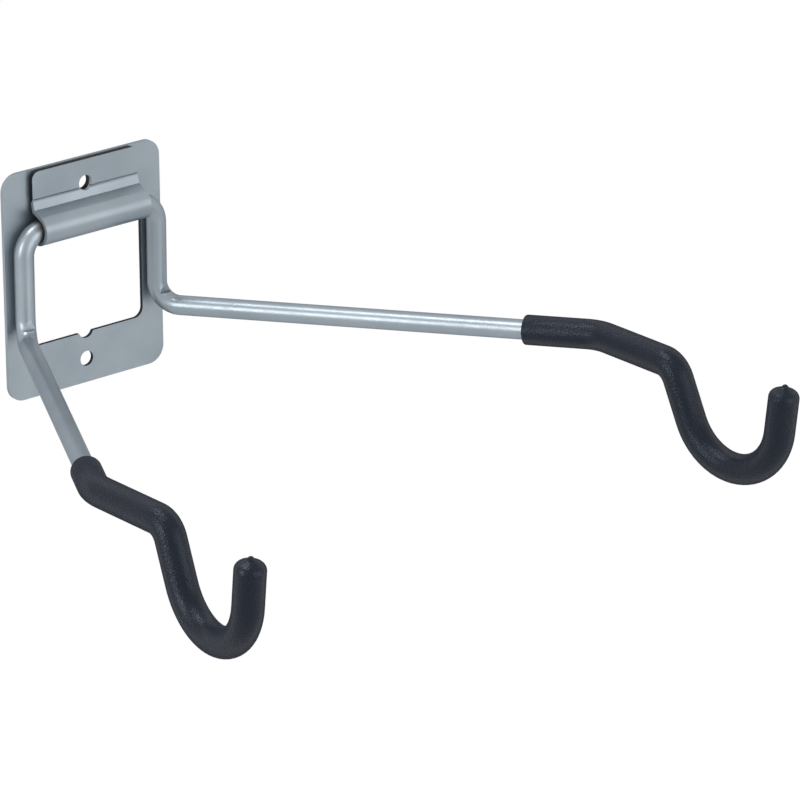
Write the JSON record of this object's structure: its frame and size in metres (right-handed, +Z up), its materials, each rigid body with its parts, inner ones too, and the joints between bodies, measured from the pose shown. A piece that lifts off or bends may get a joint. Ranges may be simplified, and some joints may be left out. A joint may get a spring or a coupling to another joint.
{
  "type": "folding wall bicycle holder",
  "caption": "Folding wall holder for a bicycle: a stamped wall plate with a rolled hinge strap, and a bent steel rod that swings up and ends in sleeved hooks.",
  "frame": {"origin": "on the wall face of the plate, midway between the two screw holes", "axes": "+X along the hinge, to the right for a person who faces the wall; -Y out of the wall, along the arms; +Z up"},
  "size_m": [0.3352, 0.3419, 0.1215],
  "materials": {
    "silver_paint": "satin silver-grey powder coat",
    "black_vinyl": "fine-grained matt black vinyl"
  },
  "bodies": {
    "plate": {"wall_plate": "silver_paint", "hinge_strap": "silver_paint"},
    "arms": {"arm_rod": "silver_paint", "left_grip": "black_vinyl", "right_grip": "black_vinyl"}
  },
  "joints": [
    {"name": "arm_fold", "type": "hinge", "parent": "plate", "child": "arms", "pos_m": [0, -0.008, 0.0298], "axis": [-1, 0, 0], "range_deg": [0, 96.5]}
  ]
}
